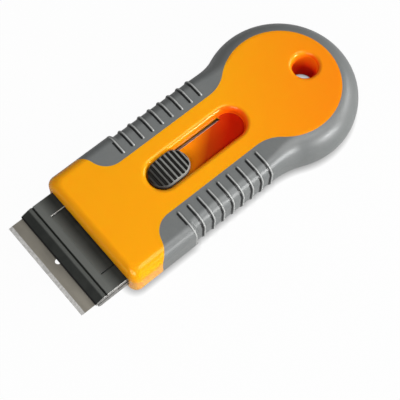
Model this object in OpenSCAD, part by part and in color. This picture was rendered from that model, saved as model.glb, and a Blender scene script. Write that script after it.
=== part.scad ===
// Retractable razor blade scraper: two-part handle with soft grips and a sliding blade holder.
// The blade points to -X, the handle's tail to +X, and the underside rests on z = 0.

/* [Handle] */
// Length of the handle from the mouth to the end of the tail
body_len = 112.3; // [104:0.1:124]
// Diameter of the round tail
tail_d = 55; // [50:0.2:60]
// Step from the front down to the ribbed waist, on each side
waist_step = 1.2; // [0.8:0.1:2.2]
// Thickness of the handle's side walls
wall = 1.75; // [1.2:0.05:2.2]
// Thickness of the handle's floor
floor_t = 2; // [1.8:0.1:3]
// Depth of the thumb pocket
pocket_depth = 3.2; // [3:0.1:5]
// Radius of the hang hole
hang_r = 4.5; // [3:0.1:5.4]
// Distance of the hang hole from the end of the tail
hang_inset = 16.8; // [14:0.2:20]

/* [Soft grip] */
// Thickness of the soft layer
grip_t = 1.5; // [1:0.1:2]
// Width of the hard deck between the grips
deck_w = 24.6; // [22:0.2:27]
// Number of ribs on each side
rib_count = 9; // [3:1:9]
// Distance from rib to rib
rib_pitch = 4.24; // [3:0.02:4.3]
// Width of a rib
rib_w = 0.9; // [0.6:0.1:1.6]
// Height of a rib
rib_h = 0.5; // [0.3:0.1:0.9]

/* [Blade] */
// Length of the cutting edge
blade_w = 39; // [36:0.5:40]
// Depth of the blade from its edge to the back of its spine
blade_d = 19; // [17.5:0.5:20]
// Thickness of the blade
blade_t = 0.25; // [0.2:0.01:0.4]
// Length of blade in front of the jaws
blade_out = 5.8; // [4:0.1:7]

/* [Holder] */
// Length of the jaws in front of the mouth
jaw_reach = 12.8; // [11.6:0.2:14]
// Thickness of the lower jaw
lower_jaw_t = 2.8; // [2.4:0.1:3.4]
// Thickness of the upper jaw
upper_jaw_t = 1.95; // [1.7:0.05:2.6]
// Slide from the working position to the stored position
travel = 20; // [19:0.5:22]

/* [Thumb button] */
// Distance of the button from the mouth
button_x = 26.4; // [25.4:0.2:29]
// Length of the button
button_len = 15.5; // [14:0.1:18]
// Width of the button
button_w = 10.3; // [9:0.1:12]
// Ridges across the button
ridge_count = 9; // [5:1:10]
// Stroke of the button when it is pressed
press_stroke = 1; // [0.6:0.1:1.2]

/* [Hidden] */
$fn = 64;

// Flat steps along each rounded edge and round the tail
arc_steps = 6;
tail_steps = 20;
// Overrun of every cut
over = 1;
// Clearance beside, above and below the sliding holder
side_gap = 0.4;
head_gap = 0.4;
slide_gap = 0.1;
// Clearance round the button and round its leg
button_gap = 0.3;
leg_gap = 0.2;
// Clearance round screws and rivets
screw_gap = 0.05;

// Heights from the underside up
rail_h = 3.1;
rail_proud = 0.1;
split_z = floor_t + rail_h - rail_proud;
// The soft layers meet lower than the shells do
grip_split_z = 3.2;
carriage_z = floor_t + rail_h + slide_gap;
blade_z = carriage_z + lower_jaw_t;
jaw_z = blade_z + blade_t;
jaw_top = jaw_z + upper_jaw_t;
ceiling_z = jaw_top + head_gap;
pocket_floor_t = 1.2;
pocket_z = ceiling_z + pocket_floor_t;
body_h = pocket_z + pocket_depth;
// Thickness of the deck above the hollow handle
deck_t = 3.3;
front_deck_t = 2.2;
chamber_z = body_h - deck_t;

// Lengths from the mouth, which is at x = 0
jaw_x0 = -jaw_reach;
edge_x = jaw_x0 - blade_out;
spine_x1 = edge_x + blade_d;
spine_gap = 0.2;
jaw_back = 2.4;
jaw_x1 = spine_x1 + spine_gap + jaw_back;
front_chamber_x = jaw_x1 + travel + side_gap;
step_lead = 1.2;
step_x = front_chamber_x + wall + grip_t + step_lead;
tail_r = tail_d / 2;
tail_x = body_len - tail_r;
hang_x = body_len - hang_inset;
// The whole scraper is centred on the origin
mouth_x = (body_len - edge_x) / 2 - body_len;

// Half widths
jaw_margin = 0.55;
jaw_half = blade_w / 2 + jaw_margin;
front_chamber_half = jaw_half + side_gap;
front_half = front_chamber_half + wall + grip_t;
// The waist stays narrower than the tail
tail_flare = 2;
waist_half = min(front_half - waist_step, tail_r - tail_flare);
waist_chamber_half = waist_half - grip_t - wall;
tail_wall = 3.7;
tail_chamber_r = tail_r - grip_t - tail_wall;
// The hollow is narrower in the lower shell, above its rounded edge
under_inset = 1.6;

// Rounding of the handle's edges
top_round = 4.4;
bottom_round = 5;
// Wider round over the tail, sideways and down
tail_round = 8;
tail_drop = 9;
front_corner = 3;
lip_depth = 3.2;
lip_under_depth = 1.6;
front_wall = 2;
step_run = 1;
// Concave sweep from the waist to the tail
flare_r = 31;
flare_x = tail_x - sqrt(pow(tail_r + flare_r, 2) - pow(waist_half + flare_r, 2));
flare_a = atan2(waist_half + flare_r, flare_x - tail_x);

// Outline of the hard deck: two opposed curves at the front, one before the round tail
deck_half = deck_w / 2;
deck_x0 = 23.4;
deck_r1 = 7.6;
deck_r2 = 10;
deck_turn = 15;
tail_band = 6.7;
deck_tail_r = tail_r - tail_band;
deck_flare_r = 13.4;
deck_x1 = tail_x - sqrt(pow(deck_tail_r + deck_flare_r, 2) - pow(deck_half + deck_flare_r, 2));
deck_a = atan2(deck_half + deck_flare_r, deck_x1 - tail_x);

// Ribs
rib_lead = 1.45;
rib_inset = 1.55;
rib_y = deck_half + rib_inset;
rib_x = step_x - rib_lead;
rib_room = floor((flare_x - rib_x - rib_w / 2) / rib_pitch) + 1;
ribs = min(rib_count, rib_room);

// Thumb pocket
pocket_half = button_w / 2 + button_gap;
pocket_tail = 4;
pocket_x0 = button_x - button_gap;
pocket_x1 = button_x + button_len + travel + button_gap + pocket_tail;
pocket_rim = 2.05;
tub_wall = 1.4;

// Button, its leg and the leg's foot
button_half = button_w / 2;
button_z = pocket_z + press_stroke + leg_gap;
button_front_h = 1.2;
button_crown_h = 2.3;
button_rear_h = 1.4;
button_crown_share = 0.76;
ridge_h = 0.45;
ridge_crest_share = 0.45;
leg_t = 0.8;
leg_past_round = 0.8;
leg_x0 = button_x + button_half - leg_past_round;
leg_x1 = button_x + button_len - button_half + leg_past_round;
leg_z = carriage_z + press_stroke + leg_gap;
slit_tail = 2.9;
foot_len = 5;
foot_out = 1;
foot_h = 0.8;
foot_top = ceiling_z - head_gap;
foot_x0 = (leg_x0 + leg_x1 - foot_len) / 2;

// Carriage tongue
tongue_half = 6.6;
tongue_tail = 7.4;
tongue_x1 = leg_x1 + tongue_tail;
lower_nose = 0.8;
nose_chamfer = 0.8;

// Upper jaw
nose_t = 0.3;
nose_len = 3.3;
band_len = 4.1;
groove_x = jaw_x0 + band_len;
groove_w = 0.5;
groove_d = 0.6;
panel_half = 13.05;
panel_lead = 7.4;
panel_x = jaw_x0 + panel_lead;
panel_d = 1;
jaw_chamfer = 0.5;

// Blade and its folded spine
bevel = 1.4;
spine_w = 4.3;
spine_x0 = spine_x1 - spine_w;
fold_t = 0.45;
blade_x1 = spine_x1 - fold_t;
slot_r = 1;
slot_lead = 4.1;
slot_x0 = edge_x + slot_lead;
slot_len = 4.6;
notch_r = 1.6;
notch_lead = 0.9;
notch_x = spine_x0 - notch_lead;

// Leaf spring and rivet
spring_t = 0.35;
spring_base_len = 5.6;
spring_lead = 0.8;
spring_x = leg_x1 + spring_lead;
spring_rise_len = 4;
spring_flat_len = 1.2;
spring_side_len = 1.4;
spring_half = 1.8;
spring_drop = 0.6;
spring_free_z = ceiling_z - spring_drop;
spring_catch = 0.4;
spring_top_z = ceiling_z + spring_catch;
spring_gap = 0.05;
catch_gap = 0.4;
catch_x = spring_x - spring_rise_len - spring_side_len - spring_flat_len / 2;
guide_len = 22;
guide_drop = 0.5;
guide_x1 = spring_x + guide_len;
guide_y = button_half - leg_t / 2;
guide_top = ceiling_z - guide_drop;
rivet_r = 0.9;
rivet_head_r = 1.7;
rivet_head_h = 0.6;
rivet_len = 2;
rivet_x = spring_x + spring_base_len / 2;

// Screws
boss_r = 2.4;
boss_gap = 0.2;
rear_boss = 6;
boss_x = [front_chamber_x + wall + boss_r, tail_x - rear_boss];
screw_r = 1.1;
screw_head_r = 2.1;
// The screws stay beside the tongue and follow the edge of the deck
deck_margin = 0.7;
boss_y = max(tongue_half + side_gap + boss_gap + boss_r, deck_half - screw_head_r - deck_margin);
screw_head_h = 1.5;
screw_sink = 0.4;
screw_len = 7;
screw_tip = 1;
cross_w = 0.5;
hang_boss = 1.8;
hang_rim = 1.75;
hang_rim_under = 0.8;
jaw_screw_r = 0.6;
jaw_screw_head_r = 1;
jaw_screw_head_h = 0.7;
jaw_screw_len = 3.6;
jaw_screw_x = jaw_x1 - jaw_back / 2;
jaw_screw_inset = 4;
jaw_screw_y = jaw_half - jaw_screw_inset;
rail_w = 2;
rail_inset = 3;
rail_y = [tongue_half - rail_w, jaw_half - rail_inset];
// Depth at which rails and bosses run into the floor
root = 0.3;

orange = [0.96, 0.58, 0.1];
grey = [0.42, 0.44, 0.44];
charcoal = [0.17, 0.17, 0.16];
steel = [0.72, 0.72, 0.7];

// Points of an arc about c
function arc(c, r, a0, a1, n = arc_steps) =
    [for (i = [0:n]) c + r * [cos(a0 + (a1 - a0) * i / n), sin(a0 + (a1 - a0) * i / n)]];

// All points but the last, where the next stretch starts on it
function but_last(p) = [for (i = [0:len(p) - 2]) p[i]];

// Points mirrored in x or in y, in reverse order
function flip_x(p) = [for (i = [len(p) - 1:-1:0]) [-p[i][0], p[i][1]]];
function flip_y(p) = [for (i = [len(p) - 1:-1:0]) [p[i][0], -p[i][1]]];

// Outline of a strip of even height t that stands on a path
function strip(path, t) = concat(path, [for (i = [len(path) - 1:-1:0]) path[i] + [0, t]]);

// Rounded edge of the handle, from the underside to the top, at half width w and grown by g
function edge(w, g) = concat(
    arc([w - bottom_round, bottom_round], bottom_round + g, -90, 0),
    arc([w - top_round, body_h - top_round], top_round + g, 0, 90)
);

// Whole cross-section of the handle
function section(w, g) = concat(edge(w, g), flip_x(edge(w, g)));

// Slot with round ends, from x0 to x1, of half width r
function slot(x0, x1, r) = concat(
    arc([x1 - r, 0], r, -90, 90, 2 * arc_steps),
    arc([x0 + r, 0], r, 90, 270, 2 * arc_steps)
);

// Rounded rim from a wall at r up to the top face at z
function rim(r, z, f) = concat(
    [[0, z - f]],
    arc([r + f, z - f], f, 180, 90),
    [[r + f, z + over], [0, z + over]]
);

// Outline of the hard deck on one side of the middle, from front to tail
function deck_side() = let (
    c1 = [deck_x0, deck_half + deck_r1],
    c2 = c1 - (deck_r1 + deck_r2) * [cos(deck_turn), sin(deck_turn)]
) concat(
    but_last(arc(c2, deck_r2, 90, deck_turn)),
    arc(c1, deck_r1, 180 + deck_turn, 270),
    but_last(arc([deck_x1, deck_half + deck_flare_r], deck_flare_r, 270, 180 + deck_a)),
    arc([tail_x, 0], deck_tail_r, deck_a, 0, 2 * arc_steps)
);

// Height of the button's sloped top at share u of its length
function button_top(u) = let (past_crown = (u - button_crown_share) / (1 - button_crown_share))
    u < button_crown_share
        ? button_front_h + (button_crown_h - button_front_h) * sin(90 * u / button_crown_share)
        : button_crown_h - (button_crown_h - button_rear_h) * pow(past_crown, 2);

// Side view of the button, with its cross ridges
function button_side() = let (gap_share = (1 - ridge_crest_share) / 2) concat(
    [[button_x + button_len, button_z], [button_x, button_z]],
    [for (i = [0:ridge_count - 1], c = [[0, 0], [gap_share, ridge_h], [1 - gap_share, ridge_h]])
        let (u = (i + c[0]) / ridge_count)
            [button_x + u * button_len, button_z + button_top(u) + c[1]]],
    [[button_x + button_len, button_z + button_rear_h]]
);

module place() {
    translate([mouth_x, 0, 0]) children();
}

// Profile in y and z drawn out from x0 to x1
module along_x(x0, x1) {
    translate([x0, 0, 0]) rotate([90, 0, 90]) linear_extrude(x1 - x0) children();
}

// Profile in x and z drawn out across a width of 2 * half
module across_y(half) {
    translate([0, half, 0]) rotate([90, 0, 0]) linear_extrude(2 * half) children();
}

// Outline in x and y drawn out from z0 to z1
module up_z(z0, z1) {
    translate([0, 0, z0]) linear_extrude(z1 - z0) children();
}

module box(x0, x1, y0, y1, z0, z1) {
    translate([x0, y0, z0]) cube([x1 - x0, y1 - y0, z1 - z0]);
}

// Pair of boxes on both sides of the middle
module twin_box(x0, x1, y0, y1, z0, z1) {
    for (s = [-1, 1]) box(x0, x1, s > 0 ? y0 : -y1, s > 0 ? y1 : -y0, z0, z1);
}

module post(x, y, r, z0, z1) {
    translate([x, y, z0]) cylinder(r = r, h = z1 - z0);
}

// Set-back of the rounded lip at height z, on a handle grown by g
function lip(z, g) = z > ceiling_z
    ? lip_depth * (1 - sqrt(1 - pow((z - ceiling_z) / (body_h + g - ceiling_z), 2)))
    : z < split_z ? lip_under_depth * (1 - sqrt(1 - pow((split_z - z) / (split_z + g), 2))) : 0;

// Rounded edge at angle t, outward and up: under the handle, or over it with k from waist 0 to tail 1
function edge_out(over_top, k, t, g) =
    let (r = over_top ? top_round + k * (tail_round - top_round) : bottom_round) (r + g) * cos(t) - r;
function edge_up(over_top, k, t, g) =
    let (r = over_top ? top_round + k * (tail_drop - top_round) : bottom_round)
    (over_top ? body_h - r : r) + (r + g) * sin(t);

// Outline points lifted to height z
function lifted(p, z) = [for (q = p) [q[0], q[1], z]];

// One side of the handle from mouth to tail, at angle t of its rounded edge and grown by g
function half_ring(over_top, t, g) = let (
    s = edge_out(over_top, 0, t, g),
    z = edge_up(over_top, 0, t, g),
    f = lip(z, g) - g
) concat(
    lifted(arc([f + front_corner, front_half + s - front_corner], front_corner, 180, 90), z),
    lifted([[step_x + g - step_run, front_half + s], [step_x + g, waist_half + s]], z),
    [for (i = [0:arc_steps - 1]) let (
        k = i / arc_steps,
        a = 270 + (flare_a - 90) * k,
        r = flare_r - edge_out(over_top, k, t, g)
    ) [flare_x + r * cos(a), waist_half + flare_r + r * sin(a), edge_up(over_top, k, t, g)]],
    lifted(arc([tail_x, 0], tail_r + edge_out(over_top, 1, t, g), flare_a, 0, tail_steps),
        edge_up(over_top, 1, t, g))
);

// Points mirrored in y, in reverse order, in space
function flip_side(p) = [for (i = [len(p) - 1:-1:0]) [p[i][0], -p[i][1], p[i][2]]];

// Outer form of the handle, grown by g: rings from the underside to the top
module skin(g) {
    quarter = [for (i = [0:arc_steps]) 90 * i / arc_steps];
    halves = concat(
        [for (t = quarter) half_ring(false, t - 90, g)],
        [for (t = quarter) half_ring(true, t, g)]
    );
    last = len(halves[0]) - 1;
    count = 2 * last + 1;
    top = (len(halves) - 1) * count;
    points = [for (h = halves) each concat(h, flip_side(but_last(h)))];
    sides = [for (j = [0:len(halves) - 2], i = [0:count - 1]) let (
        b0 = j * count + i,
        b1 = j * count + (i + 1) % count
    ) each [[b1, b1 + count, b0 + count], [b1, b0 + count, b0]]];
    top_cap = [for (i = [0:last - 1]) each [
        [top + i, top + i + 1, top + count - 1 - i],
        if (i < last - 1) [top + i + 1, top + count - 2 - i, top + count - 1 - i]
    ]];
    under_cap = [for (t = top_cap) [t[2] - top, t[1] - top, t[0] - top]];
    polyhedron(points, concat(sides, top_cap, under_cap));
}

// Upright prism under the hard deck
module deck_prism() {
    side = deck_side();
    reach = side[0][1];
    up_z(-over, body_h + over)
        polygon(concat([[-over, -reach], [-over, reach]], but_last(side), flip_y(side)));
}

// Half of the handle above or below a parting plane at height z
module half_space(upper, z) {
    box(-over, body_len + over, -tail_d, tail_d, upper ? z : -over, upper ? body_h + over : z);
}

module hard_form(upper) {
    intersection() {
        union() {
            skin(-grip_t);
            intersection() {
                skin(0);
                deck_prism();
            }
        }
        half_space(upper, split_z);
    }
}

module soft_form(upper) {
    intersection() {
        difference() {
            skin(0);
            skin(-grip_t);
            deck_prism();
        }
        half_space(upper, grip_split_z);
    }
    ribs_form(upper);
}

// Ribs over the rounded side: the first stands before the step, the others on the waist
module ribs_form(upper) {
    lap = grip_t / 2;
    for (i = [0:ribs - 1]) let (
        x = rib_x + i * rib_pitch,
        w = i == 0 ? front_half - rib_w / 2 : waist_half
    ) intersection() {
        difference() {
            along_x(x - rib_w / 2, x + rib_w / 2) polygon(section(w, rib_h));
            along_x(x - rib_w, x + rib_w) polygon(section(w, -lap));
        }
        twin_box(x - rib_w, x + rib_w, rib_y, front_half + rib_h + over,
            upper ? grip_split_z : 0, upper ? body_h + rib_h + over : grip_split_z);
    }
}

// Hollow of the handle between two heights, from x0 on, its sides moved in
module chamber(z0, z1, x0, inset) {
    front = front_chamber_half - inset;
    waist = waist_chamber_half - inset;
    tail = tail_chamber_r - inset;
    box(x0, front_chamber_x, -front, front, z0, min(z1, ceiling_z));
    up_z(z0, z1) polygon([
        [front_chamber_x - over, waist], [front_chamber_x - over, -waist],
        [flare_x, -waist], [tail_x, -tail], [tail_x, tail], [flare_x, waist]
    ]);
    post(tail_x, 0, tail, z0, z1);
}

module bosses(z0, z1, r) {
    for (x = boss_x, s = [-1, 1]) post(x, s * boss_y, r, z0, z1);
}

// Thumb pocket with its rounded rim
module pocket() {
    profile = rim(pocket_half, body_h, pocket_rim);
    up_z(pocket_z, body_h) polygon(slot(pocket_x0, pocket_x1, pocket_half));
    along_x(pocket_x0 + pocket_half, pocket_x1 - pocket_half) polygon(concat(profile, flip_x(profile)));
    for (e = [[pocket_x0 + pocket_half, 90], [pocket_x1 - pocket_half, -90]])
        translate([e[0], 0, 0]) rotate([0, 0, e[1]]) rotate_extrude(angle = 180) polygon(profile);
}

// Slit for the button's leg
module slit() {
    y0 = button_half - leg_t - leg_gap;
    r = leg_t / 2 + leg_gap;
    translate([0, y0 + r, 0]) up_z(ceiling_z - over, pocket_z + over)
        polygon(slot(leg_x0 - leg_gap, leg_x1 + travel + slit_tail, r));
}

// Catches under the pocket floor, for the working and the stored position
module catches() {
    len = spring_flat_len + 2 * (spring_side_len + catch_gap);
    for (x = [catch_x, catch_x + travel])
        box(x - len / 2, x + len / 2, -spring_half - catch_gap, spring_half + catch_gap,
            ceiling_z - over, spring_top_z + catch_gap / 2);
}

module top_shell() {
    color(orange) place() difference() {
        union() {
            difference() {
                hard_form(true);
                difference() {
                    chamber(split_z - over, chamber_z, -over, 0);
                    up_z(ceiling_z, body_h) polygon(slot(
                        pocket_x0 - tub_wall, pocket_x1 + tub_wall, pocket_half + tub_wall));
                }
                box(lip_depth + wall, front_chamber_x, -deck_half, deck_half, split_z,
                    body_h - front_deck_t);
            }
            bosses(split_z, body_h - front_deck_t, boss_r);
            post(hang_x, 0, hang_r + hang_boss, split_z, body_h - front_deck_t);
        }
        pocket();
        slit();
        catches();
        bosses(split_z - over, split_z + screw_len, screw_r + screw_gap);
        post(hang_x, 0, hang_r, split_z - over, body_h + over);
        translate([hang_x, 0, 0]) rotate_extrude() polygon(rim(hang_r, body_h, hang_rim));
    }
}

module bottom_shell() {
    seat_z = screw_sink + screw_head_h;
    color(orange) place() difference() {
        union() {
            difference() {
                hard_form(false);
                chamber(floor_t, split_z + over, front_wall, under_inset);
            }
            bosses(floor_t - root, split_z, boss_r);
            post(hang_x, 0, hang_r + hang_boss, floor_t - root, split_z);
            twin_box(front_wall - root, tongue_x1 + travel, rail_y[0], rail_y[0] + rail_w,
                floor_t - root, floor_t + rail_h);
            twin_box(front_wall - root, front_chamber_x, rail_y[1], rail_y[1] + rail_w,
                floor_t - root, floor_t + rail_h);
        }
        bosses(-over, seat_z, screw_head_r + screw_gap);
        bosses(-over, split_z + over, screw_r + screw_gap);
        post(hang_x, 0, hang_r, -over, split_z + over);
        mirror([0, 0, 1]) translate([hang_x, 0, 0]) rotate_extrude() polygon(rim(hang_r, 0, hang_rim_under));
    }
}

module upper_grip() {
    color(grey) place() soft_form(true);
}

module lower_grip() {
    color(grey) place() soft_form(false);
}

module shell_screws() {
    seat_z = screw_sink + screw_head_h;
    color(steel) place() difference() {
        union() {
            bosses(screw_sink, seat_z, screw_head_r);
            bosses(seat_z, split_z + screw_len - screw_tip, screw_r);
        }
        for (x = boss_x, s = [-1, 1], a = [0, 90])
            translate([x, s * boss_y, 0]) rotate([0, 0, a])
                box(-screw_r, screw_r, -cross_w / 2, cross_w / 2, 0, screw_sink + screw_head_h / 2);
    }
}

// Lower jaw, raised seat behind the blade and tongue with a slot for the button's leg
module blade_carriage() {
    x0 = jaw_x0 + lower_nose;
    spine_z = blade_z - fold_t - spine_gap;
    color(charcoal) place() difference() {
        union() {
            across_y(jaw_half) polygon([
                [x0 + nose_chamfer, carriage_z], [jaw_x1, carriage_z], [jaw_x1, jaw_z],
                [spine_x1 + spine_gap, jaw_z], [spine_x1 + spine_gap, spine_z],
                [spine_x0 - spine_gap, spine_z], [spine_x0 - spine_gap, blade_z],
                [x0, blade_z], [x0, carriage_z + nose_chamfer]
            ]);
            box(jaw_x1 - jaw_back, tongue_x1, -tongue_half, tongue_half, carriage_z, blade_z);
        }
        box(leg_x0 - leg_gap, leg_x1 + leg_gap, button_half - leg_t - leg_gap, button_half + leg_gap,
            carriage_z - over, blade_z + over);
        post(rivet_x, 0, rivet_r + screw_gap, blade_z - rivet_len, blade_z + over);
        for (s = [-1, 1])
            post(jaw_screw_x, s * jaw_screw_y, jaw_screw_r + screw_gap,
                jaw_top - jaw_screw_len - over, jaw_top);
    }
}

// Sloped nose, cross groove, sunk panel and channel for the blade's spine
module upper_jaw() {
    spine_z = jaw_z + fold_t + spine_gap;
    groove_z = jaw_top - groove_d;
    color(charcoal) place() difference() {
        across_y(jaw_half) polygon([
            [jaw_x0, jaw_z], [jaw_x0, jaw_z + nose_t], [jaw_x0 + nose_len, jaw_top],
            [groove_x, jaw_top], [groove_x, groove_z],
            [groove_x + groove_w, groove_z], [groove_x + groove_w, jaw_top],
            [jaw_x1, jaw_top], [jaw_x1, jaw_z],
            [spine_x1 + spine_gap, jaw_z], [spine_x1 + spine_gap, spine_z],
            [spine_x0 - spine_gap, spine_z], [spine_x0 - spine_gap, jaw_z]
        ]);
        across_y(panel_half) polygon([
            [panel_x, jaw_top], [jaw_x1 + over, jaw_top - panel_d],
            [jaw_x1 + over, jaw_top + over], [panel_x, jaw_top + over]
        ]);
        for (s = [-1, 1]) {
            post(jaw_screw_x, s * jaw_screw_y, jaw_screw_r + screw_gap, jaw_z - over, jaw_top + over);
            post(jaw_screw_x, s * jaw_screw_y, jaw_screw_head_r + screw_gap,
                jaw_top - jaw_screw_head_h, jaw_top + over);
            translate([jaw_x0, s * jaw_half, 0]) rotate([0, 0, 45])
                box(-jaw_chamfer, jaw_chamfer, -jaw_chamfer, jaw_chamfer, jaw_z - over, jaw_top + over);
        }
    }
}

module jaw_screws() {
    color(steel) place() for (s = [-1, 1]) {
        post(jaw_screw_x, s * jaw_screw_y, jaw_screw_head_r, jaw_top - jaw_screw_head_h, jaw_top);
        post(jaw_screw_x, s * jaw_screw_y, jaw_screw_r, jaw_top - jaw_screw_len, jaw_top - jaw_screw_head_h);
    }
}

// Ground edge, centre slot and half-round notches at the ends
module blade() {
    color(steel) place() difference() {
        across_y(blade_w / 2) polygon([
            [edge_x, blade_z + blade_t / 2], [edge_x + bevel, blade_z], [blade_x1, blade_z],
            [blade_x1, jaw_z], [edge_x + bevel, jaw_z]
        ]);
        up_z(blade_z - over, jaw_z + over) polygon(slot(slot_x0, slot_x0 + slot_len, slot_r));
        for (s = [-1, 1]) post(notch_x, s * blade_w / 2, notch_r, blade_z - over, jaw_z + over);
    }
}

module blade_spine() {
    color(steel) place() across_y(blade_w / 2) polygon([
        [spine_x0, blade_z - fold_t], [spine_x1, blade_z - fold_t],
        [spine_x1, jaw_z + fold_t], [spine_x0, jaw_z + fold_t],
        [spine_x0, jaw_z], [blade_x1, jaw_z], [blade_x1, blade_z], [spine_x0, blade_z]
    ]);
}

// Ridged stadium with a leg, whose foot hooks under the pocket floor
module thumb_button() {
    color(charcoal) place() {
        intersection() {
            up_z(button_z, body_h + pocket_depth)
                polygon(slot(button_x, button_x + button_len, button_half));
            across_y(button_half + over) polygon(button_side());
        }
        box(leg_x0, leg_x1, button_half - leg_t, button_half, leg_z, button_z);
        box(foot_x0, foot_x0 + foot_len, button_half - leg_t, button_half + foot_out,
            foot_top - foot_h, foot_top);
    }
}

// Base plate, catch tongue in the middle, arm under the button's foot and long guide under the slit
module lock_spring() {
    arm_z = foot_top - foot_h - spring_t - spring_gap;
    arm_y0 = button_half + leg_gap;
    arm_y1 = button_half + foot_out;
    arm = [[spring_x + spring_t, blade_z], [foot_x0 + foot_len, arm_z], [foot_x0, arm_z]];
    lift_z = spring_top_z - spring_t;
    x1 = spring_x - spring_rise_len;
    x2 = x1 - spring_side_len;
    x3 = x2 - spring_flat_len;
    color(steel) place() difference() {
        union() {
            box(spring_x, spring_x + spring_base_len, -spring_half, arm_y1, blade_z, blade_z + spring_t);
            across_y(spring_half) polygon(strip([
                [spring_x + spring_t, blade_z], [x1, spring_free_z - spring_t], [x2, lift_z],
                [x3, lift_z], [x3 - spring_side_len, spring_free_z - spring_t]
            ], spring_t));
            translate([0, (arm_y0 + arm_y1) / 2, 0])
                across_y((arm_y1 - arm_y0) / 2) polygon(strip(arm, spring_t));
            box(spring_x + spring_t, guide_x1, guide_y - spring_t / 2, guide_y + spring_t / 2,
                blade_z, guide_top);
        }
        post(rivet_x, 0, rivet_r + screw_gap, blade_z - over, blade_z + spring_t + over);
    }
}

module spring_rivet() {
    color(steel) place() {
        post(rivet_x, 0, rivet_r, blade_z - rivet_len, blade_z + spring_t);
        post(rivet_x, 0, rivet_head_r, blade_z + spring_t, blade_z + spring_t + rivet_head_h);
    }
}

top_shell();
bottom_shell();
upper_grip();
lower_grip();
shell_screws();
blade_carriage();
upper_jaw();
jaw_screws();
blade();
blade_spine();
thumb_button();
lock_spring();
spring_rivet();
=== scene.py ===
"""Razor blade scraper: finer shapes, materials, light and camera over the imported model."""
import math

import bmesh
import bpy
from mathutils import Matrix, Vector


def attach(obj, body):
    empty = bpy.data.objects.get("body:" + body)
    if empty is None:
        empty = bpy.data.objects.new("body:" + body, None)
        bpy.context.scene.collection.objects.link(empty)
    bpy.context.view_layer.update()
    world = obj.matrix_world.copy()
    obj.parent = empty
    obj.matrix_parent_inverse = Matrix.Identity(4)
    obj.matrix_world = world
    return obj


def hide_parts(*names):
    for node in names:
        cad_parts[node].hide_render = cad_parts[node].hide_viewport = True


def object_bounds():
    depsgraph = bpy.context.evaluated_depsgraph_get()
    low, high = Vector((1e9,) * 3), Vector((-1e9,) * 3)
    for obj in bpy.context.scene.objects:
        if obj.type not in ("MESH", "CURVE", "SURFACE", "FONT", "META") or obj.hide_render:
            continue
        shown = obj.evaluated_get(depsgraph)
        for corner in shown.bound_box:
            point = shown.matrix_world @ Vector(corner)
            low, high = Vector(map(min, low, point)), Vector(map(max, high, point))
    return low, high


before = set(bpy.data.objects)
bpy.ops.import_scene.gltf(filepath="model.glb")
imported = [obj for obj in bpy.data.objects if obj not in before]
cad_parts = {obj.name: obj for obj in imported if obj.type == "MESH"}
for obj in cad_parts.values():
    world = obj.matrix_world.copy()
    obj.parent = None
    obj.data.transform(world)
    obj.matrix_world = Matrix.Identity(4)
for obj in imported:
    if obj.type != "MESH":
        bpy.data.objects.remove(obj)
CAD_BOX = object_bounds()

MM = 0.001

# Shapes are made in mm with the mouth at x = 0, then moved to the frame
MOUTH_X = -46.85

# Handle
BODY_LEN = 112.3
BODY_H = 15.0
SPLIT_Z = 5.0
GRIP_SPLIT_Z = 3.2
CEILING_Z = 10.6
CHAMBER_Z = 11.7
FLOOR_T = 2.0
FRONT_DECK_Z = 12.8
GRIP_T = 1.5
WALL = 1.75
TAIL_X = 84.8
TAIL_R = 27.5
FRONT_HALF = 23.7
WAIST_HALF = 22.5
STEP_X = 27.85
STEP_RUN = 1.0
TOP_ROUND = 4.4
BOTTOM_ROUND = 5.0
TAIL_ROUND = 8.0
TAIL_DROP = 9.0
FRONT_CORNER = 3.0
LIP_DEPTH = 3.2
LIP_UNDER = 1.6
FLARE_R = 31.0

# Hard deck between the grips
DECK_HALF = 12.3
DECK_X0 = 23.4
DECK_R1 = 7.6
DECK_R2 = 10.0
DECK_TURN = 15.0
DECK_TAIL_R = 20.8
DECK_FLARE_R = 13.4

# Where the flares of the handle and of the deck start, and the angle at which they meet the tail
FLARE_X = TAIL_X - math.sqrt((TAIL_R + FLARE_R) ** 2 - (WAIST_HALF + FLARE_R) ** 2)
FLARE_A = math.degrees(math.atan2(WAIST_HALF + FLARE_R, FLARE_X - TAIL_X))
DECK_X1 = TAIL_X - math.sqrt((DECK_TAIL_R + DECK_FLARE_R) ** 2 - (DECK_HALF + DECK_FLARE_R) ** 2)
DECK_A = math.degrees(math.atan2(DECK_HALF + DECK_FLARE_R, DECK_X1 - TAIL_X))

# Ribs and seam of the grips; widths of the painted highlight on a rib's crest and of the painted shadow
# before it are shares of a rib's width
RIB_COUNT = 9
RIB_X = 26.4
RIB_PITCH = 4.24
RIB_W = 0.9
RIB_H = 0.5
RIB_Y = 13.85
RIB_ROOT = 0.45
RIB_SHADOW_SHEET = 0.55
RIB_SHADOW_SHEET_H = 0.03
RIB_FULLNESS = 0.8
RIB_UNDER = 75.0
RIB_END_TOP = 0.75
RIB_END_UNDER = 1.6
RIB_END_SHARE = 0.35
RIB_TIP = 0.02
RIB_HIGHLIGHT = (0.4, -0.1)
RIB_SHADOW = (0.4, 0.48)
SEAM_GAP = 0.25
SEAM_DEPTH = 0.5
SEAM_SHADE = 0.85

# Room inside the handle, rails and screws
FRONT_CHAMBER_X = 23.4
FRONT_CHAMBER_HALF = 20.45
WAIST_CHAMBER_HALF = 19.25
TAIL_CHAMBER_R = 22.3
UNDER_INSET = 1.6
FRONT_WALL = 2.0
BOSS_R = 2.4
BOSS_X = (27.55, 78.8)
BOSS_Y = 9.6
SCREW_R = 1.1
SCREW_HEAD_R = 2.1
SCREW_SEAT_Z = 1.9
SCREW_TOP = 12.0
SCREW_GAP = 0.05
RAIL_TOP = 5.1
RAIL_W = 2.0
RAIL_Y = (4.6, 17.05)

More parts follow.
